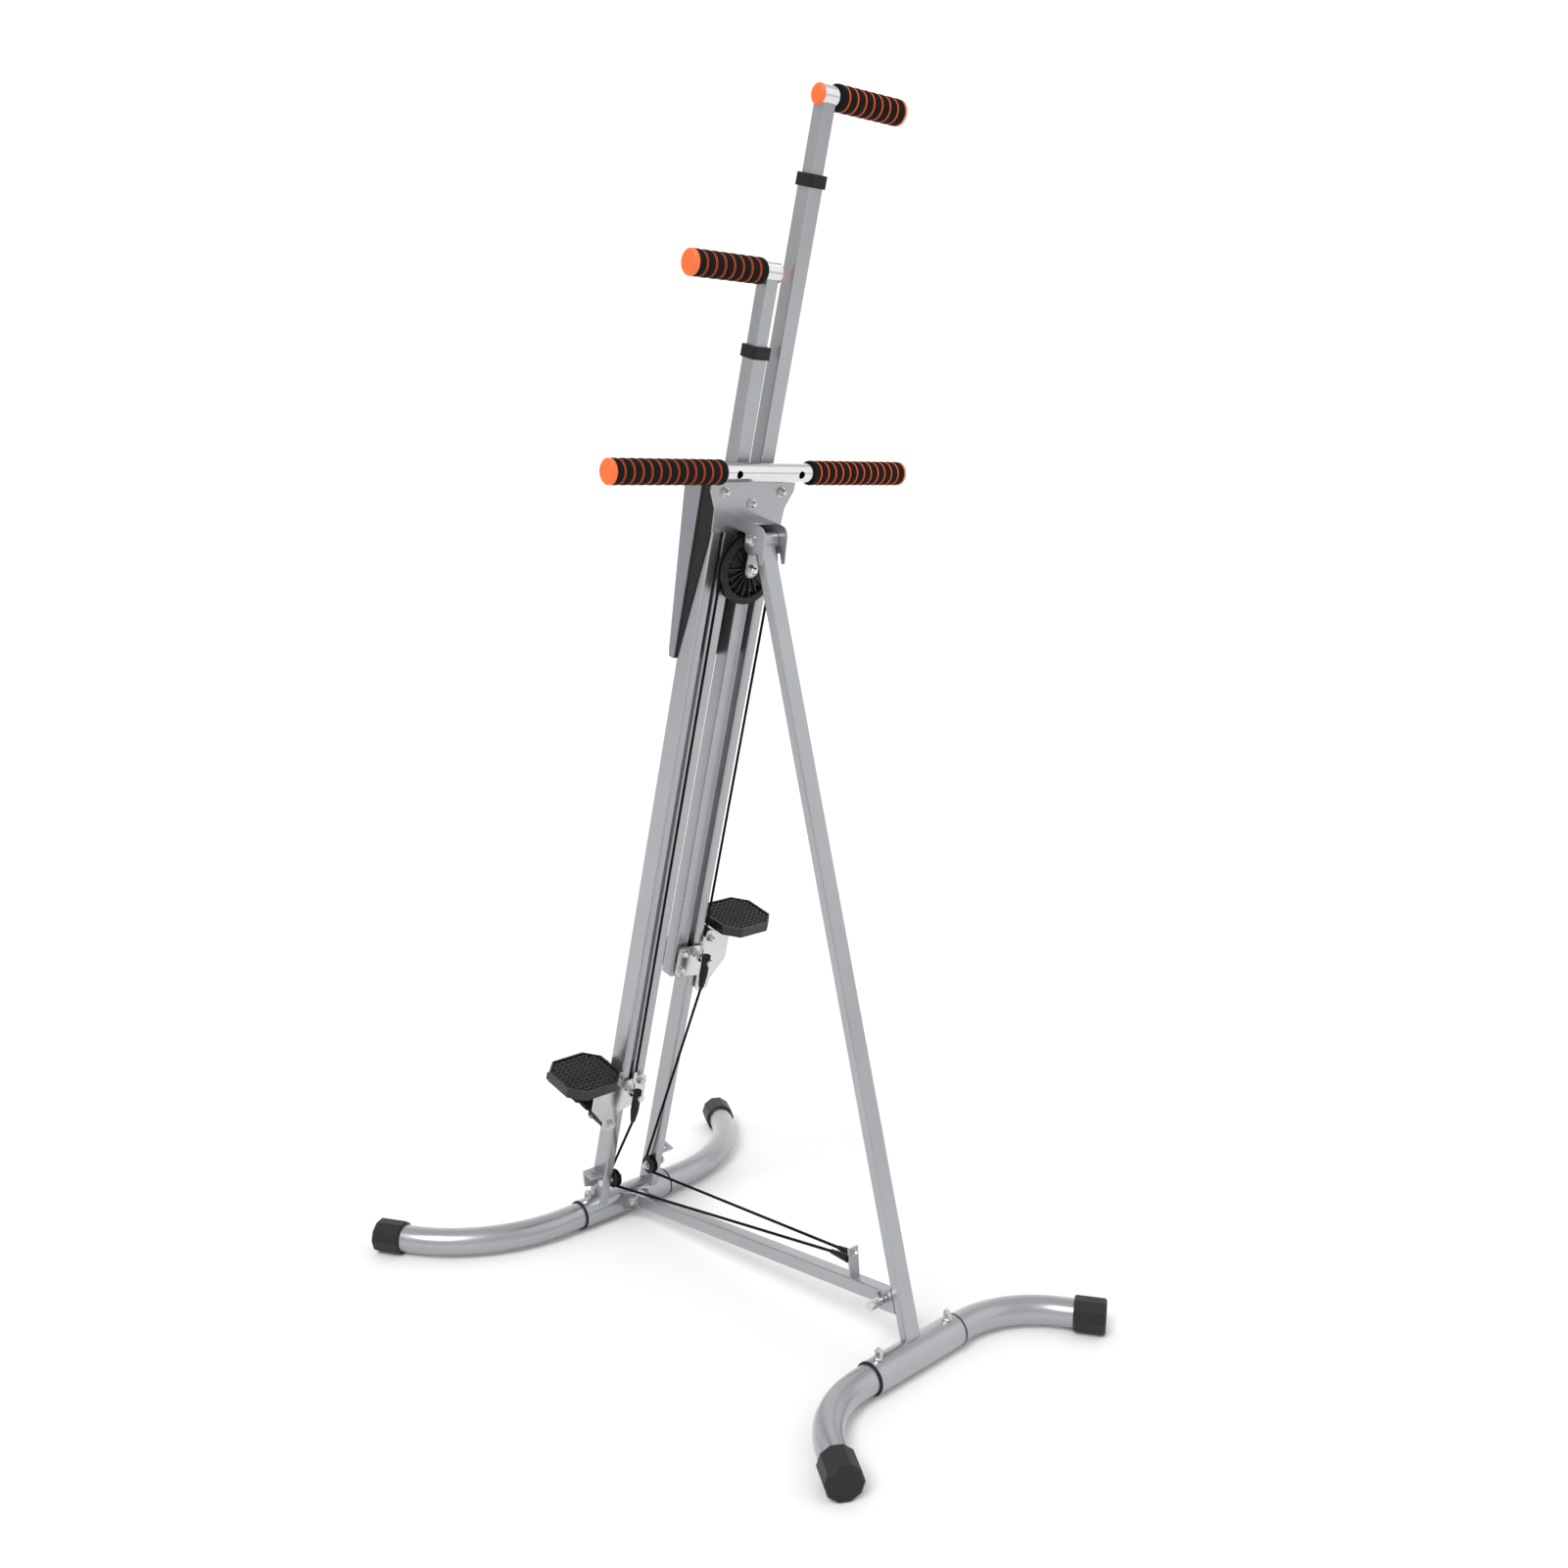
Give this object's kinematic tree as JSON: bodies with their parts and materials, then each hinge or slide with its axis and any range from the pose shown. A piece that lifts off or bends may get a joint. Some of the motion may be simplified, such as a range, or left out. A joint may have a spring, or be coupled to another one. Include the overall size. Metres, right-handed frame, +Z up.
{
  "type": "vertical climber machine",
  "caption": "Folding A-frame climbing exerciser with stepping pedals, moving hand posts and a fixed handlebar, the two carriages tied by a cord over a pulley",
  "frame": {"origin": "on the floor at the middle of the footprint, on the middle plane", "axes": "+Z up, -Y towards the support leg's side, +X across the machine"},
  "size_m": [0.9176, 1.1772, 2.0618],
  "materials": {
    "frame_paint": "satin",
    "chrome_tube": "gloss",
    "zinc": "satin",
    "black_plastic": "matte",
    "black_rubber": "matte",
    "grey_plastic": "matte",
    "foam": "matte",
    "orange_plastic": "matte",
    "cord": "matte",
    "silver_plastic": "satin"
  },
  "bodies": {
    "frame": {"rear_sleeve": "frame_paint", "rear_left_foot": "frame_paint", "rear_right_foot": "frame_paint", "rear_end_caps": "grey_plastic", "left_rail": "frame_paint", "right_rail": "frame_paint", "base_bolts": "zinc", "head_plates": "frame_paint", "post_guide": "black_plastic", "handlebar": "chrome_tube", "fixed_grips": "foam", "fixed_bar_caps": "orange_plastic", "pivot_bracket": "frame_paint", "head_bolts": "zinc", "lift_cord": "cord", "left_stretch_cord": "cord", "right_stretch_cord": "cord", "shroud_liner": "black_plastic", "shroud_shell": "silver_plastic"},
    "leg": {"support_leg": "frame_paint", "front_sleeve": "frame_paint", "front_left_foot": "frame_paint", "front_right_foot": "frame_paint", "front_end_caps": "grey_plastic", "front_sleeve_bolts": "zinc"},
    "beam": {"base_beam": "frame_paint", "anchor_boots": "black_rubber", "anchor_bolt": "zinc"},
    "pin": {"lock_pin": "zinc"},
    "lift_wheel": {"lift_pulley": "black_plastic"},
    "left_climber": {"left_carriage": "zinc", "left_carriage_bolts": "zinc", "left_slide_pad": "black_plastic", "left_pedal": "black_plastic", "left_post": "frame_paint", "left_collar": "black_plastic", "left_cord_end": "zinc", "left_cord_boot": "black_rubber"},
    "left_hand_post": {"left_stem": "frame_paint", "left_handle": "chrome_tube", "left_grip": "foam", "left_handle_caps": "orange_plastic"},
    "left_upper_wheel": {"left_upper_roller": "black_plastic"},
    "left_lower_wheel": {"left_lower_roller": "black_plastic"},
    "left_cord_wheel": {"left_cord_pulley": "black_plastic"},
    "right_climber": {"right_carriage": "zinc", "right_carriage_bolts": "zinc", "right_slide_pad": "black_plastic", "right_pedal": "black_plastic", "right_post": "frame_paint", "right_collar": "black_plastic", "right_cord_end": "zinc", "right_cord_boot": "black_rubber"},
    "right_hand_post": {"right_stem": "frame_paint", "right_handle": "chrome_tube", "right_grip": "foam", "right_handle_caps": "orange_plastic"},
    "right_upper_wheel": {"right_upper_roller": "black_plastic"},
    "right_lower_wheel": {"right_lower_roller": "black_plastic"},
    "right_cord_wheel": {"right_cord_pulley": "black_plastic"}
  },
  "joints": [
    {"name": "left_climb", "type": "slide", "parent": "frame", "child": "left_climber", "axis": [0, -0.2588, 0.9659], "range_m": [-0.113, 0.381], "deforming": ["lift_cord", "left_stretch_cord", "right_stretch_cord"]},
    {"name": "right_climb", "type": "slide", "parent": "frame", "child": "right_climber", "axis": [0, -0.2588, 0.9659], "range_m": [-0.381, 0.113]},
    {"name": "lift_pulley_spin", "type": "hinge", "parent": "frame", "child": "lift_wheel", "pos_m": [0, -0.01697, 1.31412], "axis": [0, -0.9659, -0.2588], "continuous": true},
    {"name": "left_upper_roller_spin", "type": "hinge", "parent": "left_climber", "child": "left_upper_wheel", "pos_m": [-0.089, 0.28311, 0.34682], "axis": [0, -0.9659, -0.2588], "continuous": true},
    {"name": "left_lower_roller_spin", "type": "hinge", "parent": "left_climber", "child": "left_lower_wheel", "pos_m": [-0.089, 0.30899, 0.25023], "axis": [0, -0.9659, -0.2588], "continuous": true},
    {"name": "left_cord_pulley_spin", "type": "hinge", "parent": "frame", "child": "left_cord_wheel", "pos_m": [-0.046, 0.33358, 0.10049], "axis": [1, 0, 0], "continuous": true},
    {"name": "left_handle_height", "type": "slide", "parent": "left_climber", "child": "left_hand_post", "axis": [0, -0.2588, 0.9659], "range_m": [-0.08, 0.1]},
    {"name": "right_upper_roller_spin", "type": "hinge", "parent": "right_climber", "child": "right_upper_wheel", "pos_m": [0.089, 0.21374, 0.60569], "axis": [0, -0.9659, -0.2588], "continuous": true},
    {"name": "right_lower_roller_spin", "type": "hinge", "parent": "right_climber", "child": "right_lower_wheel", "pos_m": [0.089, 0.23963, 0.5091], "axis": [0, -0.9659, -0.2588], "continuous": true},
    {"name": "right_cord_pulley_spin", "type": "hinge", "parent": "frame", "child": "right_cord_wheel", "pos_m": [0.046, 0.33358, 0.10049], "axis": [1, 0, 0], "continuous": true},
    {"name": "right_handle_height", "type": "slide", "parent": "right_climber", "child": "right_hand_post", "axis": [0, -0.2588, 0.9659], "range_m": [-0.08, 0.1]},
    {"name": "leg_swing", "type": "hinge", "parent": "frame", "child": "leg", "pos_m": [0, -0.05706, 1.36135], "axis": [-1, 0, 0], "range_deg": [0, 12]},
    {"name": "beam_lift", "type": "hinge", "parent": "frame", "child": "beam", "pos_m": [0, 0.31, 0.05], "axis": [-1, 0, 0], "range_deg": [0, 52]},
    {"name": "lock_pin_pull", "type": "slide", "parent": "beam", "child": "pin", "axis": [-1, 0, 0], "range_m": [0, 0.04]}
  ],
  "couplings": [
    {"joint": "right_climb", "follows": "left_climb", "ratio": -1},
    {"joint": "lift_pulley_spin", "follows": "left_climb", "rad_per_m": -17.094},
    {"joint": "left_upper_roller_spin", "follows": "left_climb", "rad_per_m": 66.667},
    {"joint": "left_lower_roller_spin", "follows": "left_climb", "rad_per_m": 66.667},
    {"joint": "left_cord_pulley_spin", "follows": "left_climb", "rad_per_m": 43.333},
    {"joint": "right_upper_roller_spin", "follows": "left_climb", "rad_per_m": 66.667},
    {"joint": "right_lower_roller_spin", "follows": "left_climb", "rad_per_m": 66.667},
    {"joint": "right_cord_pulley_spin", "follows": "left_climb", "rad_per_m": -43.333},
    {"joint": "beam_lift", "follows": "leg_swing", "ratio": 4.2}
  ]
}
